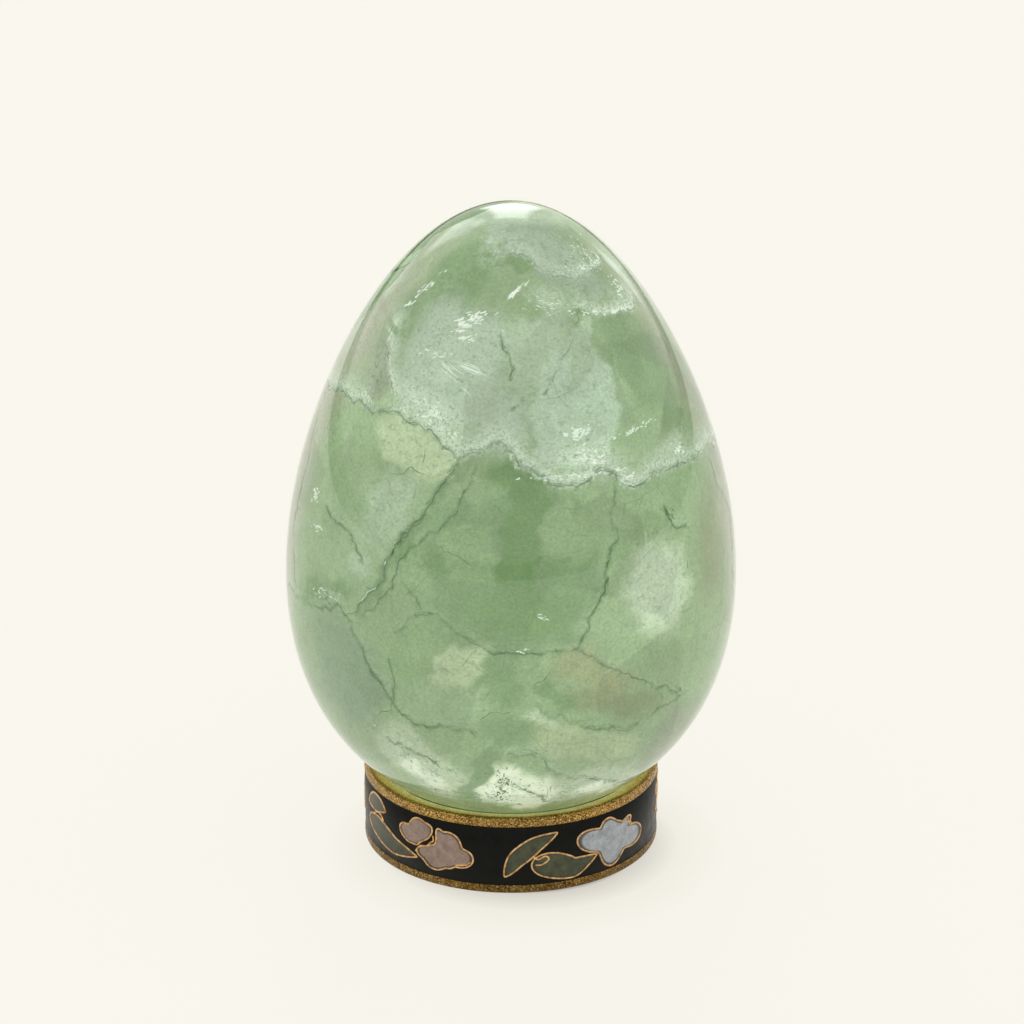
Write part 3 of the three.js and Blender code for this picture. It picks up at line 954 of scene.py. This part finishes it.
def crack_route(route, size=0.5):
    """Bearings in radians and heights in metres along a broken line on the heart."""
    bearing, height = np.array(route, float).T
    bearing = np.radians(bearing)
    girth = girth_at(height)
    around = np.diff(bearing) * (girth[1:] + girth[:-1]) / 2
    run = np.concatenate([[0], np.cumsum(np.hypot(around, np.diff(height)))])
    count = max(int(run[-1] / crack_step), 6)
    marks = np.linspace(0, run[-1], count)
    wander = jagged(count, crack_step, size)
    bearing, height = np.interp(marks, run, bearing), np.interp(marks, run, height)
    girth = girth_at(height)
    along = np.stack([np.gradient(bearing) * girth, np.gradient(height)])
    along /= np.linalg.norm(along, axis=0) + 1e-9
    bearing = bearing - along[1] * wander / np.maximum(girth, 3)
    height = height + along[0] * wander
    return bearing, height * MM


def on_heart(bearing, height, lift):
    """A point of the heart's surface, lifted straight out from the axis."""
    return around_axis(heart_radius(bearing, height) + lift, bearing, height)


def seam(bearing, height, width, lift=0.04 * MM, broken=0.5, thickness=0.045 * MM):
    """A thin ragged splinter along a route, four-sided. Its width is the product of slow chance
    between knots, rough chance at each point and a thinning over the last eighth at either end.
    It falls to almost nothing where the seam is broken."""
    centre = on_heart(bearing, height, lift)
    out = around_axis(1, bearing, 0)
    across = unit(np.cross(unit(np.gradient(centre, axis=0)), out))
    count = len(bearing)
    knots = np.arange(0, count + knot_gap, knot_gap)
    slow = np.interp(np.arange(count), knots, crack_chance.uniform(1 - 2 * broken, 1.3, len(knots)))
    rough = slow.clip(0.06, 1.3) * crack_chance.uniform(0.6, 1.3, count)
    share = np.linspace(0, 1, count)
    ends = np.minimum(1, np.minimum(share, 1 - share) * 8) ** 0.6 + 0.03
    half = across * (width * rough * ends / 2)[:, None]
    thick = out * thickness * np.minimum(1, rough * ends * 2)[:, None]
    return np.stack([centre - half, centre + thick, centre + half, centre - thick], axis=1)


def strand(bearing, height, width):
    """A finer seam beside half of a fracture of some width in mm: it is shifted by chance and
    drifts off and back by summed chance steps."""
    shift = crack_chance.normal(0, 0.3 + 0.4 * width) * MM * 0.5
    drift = crack_chance.normal(0, 0.05 * MM, len(height)).cumsum()
    drift -= np.linspace(drift[0], drift[-1], len(drift))
    start = crack_chance.integers(0, len(height) // 2)
    stop = start + len(height) // 2
    moved = (bearing + shift / 20)[start:stop], (height + shift + drift * 0.5)[start:stop]
    return seam(*moved, width * MM * 0.36, broken=0.9)


def spur(bearing, height):
    """A short seam that branches off a fracture at a chance point and angle, 0.6 to 2.4 mm."""
    at = crack_chance.integers(0, len(bearing))
    lean = crack_chance.uniform(0.3, 0.9) * crack_chance.choice([-1, 1])
    ahead = np.arctan2(np.gradient(height)[at], np.gradient(bearing)[at] * spur_girth * MM)
    long = crack_chance.uniform(0.6, 2.4)
    turn = ahead + lean
    root = (np.degrees(bearing[at]), height[at] / MM)
    tip = (root[0] + np.degrees(np.cos(turn) * long / spur_girth), root[1] + np.sin(turn) * long)
    return seam(*crack_route([root, tip], 0.3), 0.06 * MM)


seams, pale_seams, frost_lines, shade_lines, sheets = [], [], [], [], []
for route, width, frost, reach in fractures.values():
    bearing, height = crack_route(route)
    seams.append(seam(bearing, height, 0.82 * width * MM, broken=0.75))
    strands = (width > great_from) * 5 + (width > stranded_from) * 2
    seams += [strand(bearing, height, width) for _ in range(strands)]
    spurs = int(len(bearing) * width * spurs_per_point)
    seams += [spur(bearing, height) for _ in range(spurs)]
    if frost > 0.8 or width > great_from:
        pale_seams.append(seam(bearing, height + 0.2 * MM, 0.12 * MM, broken=1.3))
    if width > shaded_from:
        shade_lines.append((bearing[::2], height[::2], width))
    if frost:
        frost_lines.append((bearing[::3], height[::3], frost))
    if reach > 1:
        share = np.linspace(0, 1, 7)[:, None] + 0 * bearing
        rough = reach * MM * (0.45 + 0.55 * np.abs(jagged(len(bearing), crack_step, 1.0)))
        lift = share**1.3 * rough * 1.1 + 0.03 * MM
        sheets.append((on_heart(bearing + 0 * share, height + share * rough * 0.75, lift), share))


def from_line(line_bearing, line_height):
    """How far the heart's points are from the nearest point of a line, and how far above it."""
    around = ((bearings[..., None] - line_bearing + np.pi) % (2 * np.pi) - np.pi) * radii[..., None]
    above = heights[..., None] - line_height
    distance = np.hypot(around, above)
    nearest = distance.argmin(axis=-1)[..., None]
    return [np.take_along_axis(values, nearest, axis=-1)[..., 0] for values in (distance, above)]


frost_amount = np.zeros(bearings.shape)
for line_bearing, line_height, strength in frost_lines:
    distance, side = from_line(line_bearing, line_height)
    fall = np.where(side > 0, frost_above, frost_below)
    frost_amount = np.maximum(frost_amount, strength * np.exp(-distance / fall))

shade_amount = np.zeros(bearings.shape)
for line_bearing, line_height, width in shade_lines:
    distance, _ = from_line(line_bearing, line_height)
    fall = (0.16 + 0.5 * width) * MM
    shade_amount = np.maximum(shade_amount, (0.3 + 0.5 * width) * np.exp(-((distance / fall) ** 2)))

veils = {
    # bearing, height, half length and half width in mm, lean, and strength of the frost there
    "cap": (84, 72, 5, 2, -24, 0.22),
    "cap_left": (-28, 73.5, 3, 1.2, -20, 0.25),
    "conch": (76, 67.5, 5, 1.9, -20, 0.13),
    "column_shell": (29, 69.6, 3, 1.4, -10, 0.34),
    "great_veil": (-36, 64, 6, 4, 30, 0.34),
    "veil_foot": (-38, 58.6, 6, 1.8, -14, 0.6),
    "left_haze": (-78, 60, 3.5, 3, 0, 0.25),
    "cone_foot": (30, 53, 7, 2.2, -16, 0.5),
    "crown": (-60, 70, 5, 3, 30, 0.16),
    "foot_left": (-33, 17.5, 5, 2.5, -35, 0.3),
    "foot_middle": (-2, 14.5, 4.5, 2.5, 0, 0.22),
    "foot_right": (30, 14, 6, 2, -8, 0.24),
    "right_shelf": (70, 51, 5, 1.5, 0, 0.5),
    "left_tan": (-70, 34.5, 4, 1.2, 10, 0.3),
    "back": (150, 62, 8, 5, 20, 0.4),
    "back_left": (-130, 60, 7, 4, -30, 0.45),
}
clearings = {
    # the same, where the crystal is clear beside the frost
    "shelf_left": (-60, 56.2, 4.5, 2.4, -10, 0.6),
    "under_shelf": (-50, 54.5, 3, 1.6, -10, 0.5),
}


def patch(middle, height, long, wide, lean, strength):
    """A soft oval on the heart: its strength falls off with the 2.6th power of the distance."""
    along, across = leaning(*unrolled(middle, height), lean, long, wide)
    return strength * np.exp(-((along**2 + across**2) ** 1.3))


for veil in veils.values():
    frost_amount = np.maximum(frost_amount, patch(*veil))
for clearing in clearings.values():
    frost_amount = frost_amount * (1 - patch(*clearing))


def hairlines(tree, place, scale, width):
    """Thin lines where the cells of a cell pattern meet."""
    sockets = {"Vector": place, "Scale": scale}
    cells = new_node(tree, "ShaderNodeTexVoronoi", sockets, feature="DISTANCE_TO_EDGE")
    return ramp(tree, cells.outputs["Distance"], (0.0, 1.0), (width, 0.0))


def threshold(tree, value, texture, start, stop, weight):
    """Where half a slow value, plus weighted fine noise, passes from one bound to another. Half
    the weight is added to each bound, and the bounds are halved."""
    half = worked(tree, "MULTIPLY", value, 0.5)
    total = worked(tree, "MULTIPLY_ADD", texture, weight, half)
    return ramp(tree, total, ((start + weight / 2) / 2, 0.0), ((stop + weight / 2) / 2, 1.0))


heart_finish, tree, shader = new_material("clouded_fluorite")
place = place_of(tree)
warp = new_node(tree, "ShaderNodeTexNoise", {"Vector": place, "Scale": 170, "Detail": 3})
bent = mixed(tree, 0.006, place, warp.outputs["Color"], "LINEAR_LIGHT")
clouds = ramp(tree, noise(tree, bent, 230, 5.0, 0.62), (0.3, 0.9), (0.5, 1.0), (0.7, 1.1))
specks = ramp(tree, noise(tree, place, 3000, 2.0, 0.8), (0.3, 0.86), (0.7, 1.14))
colour = attribute(tree, "zone", "Color")
colour = multiplied(tree, multiplied(tree, colour, clouds), specks)
patchy = ramp(tree, noise(tree, place, 130, 2.0), (0.5, 0.0), (0.66, 0.7))
dark_lines = multiplied(tree, hairlines(tree, place, 240, 0.012), patchy)
colour = mixed(tree, dark_lines, colour, paint(100, 134, 92))
crumbs = noise(tree, place, 3400, 2.0, 0.7)
flakes = noise(tree, place, 900, 4.0, 0.8, (1.0, 1.0, 1.5))
frost = attribute(tree, "frost")
pale_frost = threshold(tree, frost, flakes, 0.42, 1.0, 0.6)
pale_frost = multiplied(tree, pale_frost, ramp(tree, crumbs, (0.36, 0.78), (0.64, 1.0)))
colour = mixed(tree, pale_frost, colour, paint(212, 228, 208))
dark_crumbs = threshold(tree, frost, flakes, 0.5, 0.8, 0.8)
dark_crumbs = multiplied(tree, dark_crumbs, ramp(tree, crumbs, (0.36, 0.6), (0.46, 0.0)))
colour = mixed(tree, dark_crumbs, colour, paint(126, 158, 118))
splits = threshold(tree, attribute(tree, "shade"), flakes, 0.46, 0.9, 0.8)
colour = mixed(tree, splits, colour, paint(104, 138, 94))
# Painted light: the heart glows by a share of its own colour, standing for light scattered inside the
# crystal.
plug(tree, shader, {
    "Base Color": colour,
    "Emission Color": colour,
    "Emission Strength": 0.28,
    "Roughness": 0.5,
})
bumped(tree, shader, noise(tree, place, 260, 1.0), 0.4 * MM, 0.5)

heart = piece("heart", [heart_grid], heart_finish)
poles = [zone_colour[0].mean(axis=0), zone_colour[-1].mean(axis=0)]
zone_values = np.concatenate([zone_colour.reshape(-1, 3), poles])
zone_values = np.column_stack([zone_values, np.ones(len(zone_values))])
zone_attribute = heart.data.attributes.new("zone", "FLOAT_COLOR", "POINT")
zone_attribute.data.foreach_set("color", zone_values.ravel())
for name, amount in (("frost", frost_amount), ("shade", shade_amount)):
    keep_at_points(heart, name, np.concatenate([amount.ravel(), [0.0, 0.0]]))

# The fractures: ragged splits in the crystal. Each shows as a dark broken seam with finer seams
# beside it, and the great ones open into a frosted sheet that leans out towards the surface.
seam_finish, tree, shader = new_material("fracture_seam")
tone = noise(tree, place_of(tree), 900)
dark = ramp(tree, tone, (0.35, paint(92, 122, 84)), (0.65, paint(142, 170, 130)))
# Painted light: the seams glow a little, so they read lighter than their shaded colour.
plug(tree, shader, {
    "Base Color": dark,
    "Emission Color": dark,
    "Emission Strength": 0.2,
    "Roughness": 0.55,
})
piece("fracture_seams", seams, seam_finish)

sheet_finish, tree, shader = new_material("fracture_sheet")
crust = noise(tree, place_of(tree), 1300, 6.0, 0.8)
fade = ramp(tree, attribute(tree, "edge"), (0.0, 0.7), (0.55, 0.4), (1.0, 0.0))
plug(tree, shader, {
    "Base Color": ramp(tree, crust, (0.35, paint(160, 186, 156)), (0.6, paint(232, 242, 230))),
    "Alpha": multiplied(tree, fade, ramp(tree, crust, (0.42, 0.0), (0.58, 1.0))),
    "Roughness": 0.4,
})
bumped(tree, shader, crust, 0.2 * MM, 0.8)
sheet_grids = [grid for grid, _ in sheets]
frosted_sheets = piece("fracture_sheets", sheet_grids, sheet_finish, ends="open")
keep_at_points(frosted_sheets, "edge", np.concatenate([share.ravel() for _, share in sheets]))

# The glints: white slivers that glow a little, as painted highlights where small cleavage faces
# inside the crystal catch the light, and as pale edges beside the seams, in rows that follow the
# shell-shaped veils of the upper half.
glints = {
    # bearing, height, spread along and across in mm, lean, how many, length and width in mm
    "far_left": (-76, 68.2, 2.8, 0.6, 62, 24, 0.5, 0.19),
    "upper_left": (-25, 67.6, 2.2, 0.7, 28, 40, 0.6, 0.19),
    "middle_left": (-24, 66, 1.2, 0.4, 20, 12, 0.6, 0.15),
    "left": (-38, 64, 2.8, 0.5, 4, 16, 0.5, 0.1),
    "rays": (-22, 63.2, 1.6, 0.7, -14, 9, 2.2, 0.08),
    "rays_low": (-28, 62, 1.6, 0.9, -28, 9, 1.5, 0.07),
    "streak": (6, 70.6, 1.6, 0.2, 32, 16, 0.8, 0.17),
    "small_tick": (-4, 66.8, 0.4, 0.1, -45, 3, 0.7, 0.07),
    "shell_middle": (29, 69, 2.4, 0.8, -8, 24, 0.5, 0.08),
    "conch_edge": (72, 66.5, 4.4, 0.3, -14, 50, 0.45, 0.17),
    "conch": (92, 67.5, 1.8, 1.0, -30, 34, 0.4, 0.18),
    "soft_patch": (27, 56, 1.6, 0.7, 0, 44, 0.4, 0.2),
    "lower_patch": (30, 53.4, 2.2, 0.9, -10, 44, 0.45, 0.17),
    "right_row": (55, 54.8, 2.8, 0.3, 2, 30, 0.36, 0.18),
    "right_spot": (77, 50.2, 1.5, 0.7, -20, 28, 0.4, 0.18),
    "shelf_edge": (26, 51.6, 4.8, 0.25, -4, 60, 0.36, 0.14),
    "shelf_point": (45, 50, 1.4, 0.5, 20, 26, 0.36, 0.15),
    "veil_foot": (-35, 58, 2.6, 0.9, -24, 36, 0.5, 0.14),
    "shelf_left": (-30, 56.4, 4.6, 0.5, -14, 34, 0.36, 0.09),
    "shelf_end": (-72, 56.4, 1.4, 0.3, -10, 10, 0.36, 0.13),
    "cap_edge": (80, 70.9, 5.0, 0.4, -16, 46, 0.34, 0.11),
    "cap_grains": (92, 72, 4.0, 1.6, -20, 46, 0.22, 0.1),
    "block_spot": (10, 36.4, 1.0, 0.3, -20, 8, 0.5, 0.1),
    "arc_spot": (4, 32.8, 0.9, 0.2, 5, 6, 0.5, 0.1),
    # a painted reflection: a small bright spot on the surface, drawn as glints inside
    "left_flash": (-88, 43.6, 0.9, 0.9, 0, 24, 0.4, 0.2),
    "left_flash_low": (-82, 40.6, 1.8, 0.6, 10, 16, 0.4, 0.1),
    "foot_grains": (-3, 14.6, 3.4, 1.6, 10, 60, 0.3, 0.15),
    "foot_left": (-33, 18, 3.6, 1.8, -36, 34, 0.36, 0.1),
    "foot_right": (30, 14.6, 4.0, 1.0, -8, 28, 0.36, 0.1),
    "left_tan": (-72, 34.4, 2.8, 0.6, 12, 18, 0.4, 0.1),
    "back_veil": (150, 63, 5.0, 2.0, 20, 40, 0.6, 0.12),
    "back_shelf": (190, 51, 8.0, 0.6, 0, 60, 0.4, 0.1),
    "back_foot": (-160, 15, 5.0, 2.0, 0, 44, 0.3, 0.12),
}
grains = {
    # the same, for dark flecks
    "foot_middle": (-3, 15.8, 2.4, 0.9, 84, 70, 0.28, 0.17),
    "foot_scatter": (-4, 15, 4.4, 2.4, 0, 50, 0.24, 0.13),
    "foot_left": (-32, 18.8, 4.0, 1.4, -36, 26, 0.3, 0.08),
    "foot_right": (16, 14.6, 3.0, 0.8, -24, 20, 0.3, 0.08),
    "cap": (84, 71.8, 4.0, 1.2, -20, 34, 0.24, 0.08),
    "great_veil": (-48, 67, 4.0, 2.4, 30, 40, 0.24, 0.07),
    "left_haze": (-76, 59, 2.6, 2.0, 0, 20, 0.26, 0.07),
    "arc_end": (60, 24.6, 1.8, 0.8, -20, 22, 0.3, 0.08),
    "left_corner": (-74, 34, 2.4, 0.8, 10, 20, 0.3, 0.08),
    "pit": (62, 44.6, 0.8, 0.4, -40, 8, 0.4, 0.12),
    "back_foot": (-160, 15, 4.0, 1.4, 0, 30, 0.3, 0.08),
}
fleck_chance = np.random.default_rng(seed=23)


def flecks(bearing, height, long, wide, lean, count, length, width):
    """Small seams scattered round a place, in a cloud that is long and wide and that leans. Each
    is a short arc that sags by a share of its length, square to its own tilt."""
    made = []
    turn = np.radians(lean)
    share = np.linspace(-0.5, 0.5, 7)
    for _ in range(count):
        along, across = fleck_chance.normal(0, 0.5, 2) * (long, wide)
        tilt = turn + fleck_chance.normal(0, 0.14 / length)
        size = length * fleck_chance.uniform(0.5, 1.5)
        sag = fleck_chance.normal(0, 0.05) * size * (1 - 4 * share**2)
        around = along * np.cos(turn) - across * np.sin(turn)
        above = along * np.sin(turn) + across * np.cos(turn)
        around = around + share * size * np.cos(tilt) - sag * np.sin(tilt)
        above = above + share * size * np.sin(tilt) + sag * np.cos(tilt)
        thick = width * MM * fleck_chance.uniform(0.4, 1.4)
        arc = np.radians(bearing) + around / girth_at(height), (height + above) * MM
        made.append(seam(*arc, thick, 0.07 * MM, broken=0.3))
    return made


def all_flecks(clouds):
    """The flecks of every cloud in a table."""
    return [fleck for cloud in clouds.values() for fleck in flecks(*cloud)]


# Painted highlight: the glints are near white and glow a little.
glint_finish, tree, shader = new_material("glint")
tone = noise(tree, place_of(tree), 1200, 3.0)
plug(tree, shader, {
    "Base Color": ramp(tree, tone, (0.35, paint(222, 238, 222)), (0.6, paint(250, 254, 248))),
    "Roughness": 0.25,
    "Emission Color": paint(250, 255, 250),
    "Emission Strength": 0.3,
})
bright_flecks = all_flecks(glints)
dark_flecks = all_flecks(grains)
piece("glints", bright_flecks + pale_seams, glint_finish)
piece("grains", dark_flecks, seam_finish)
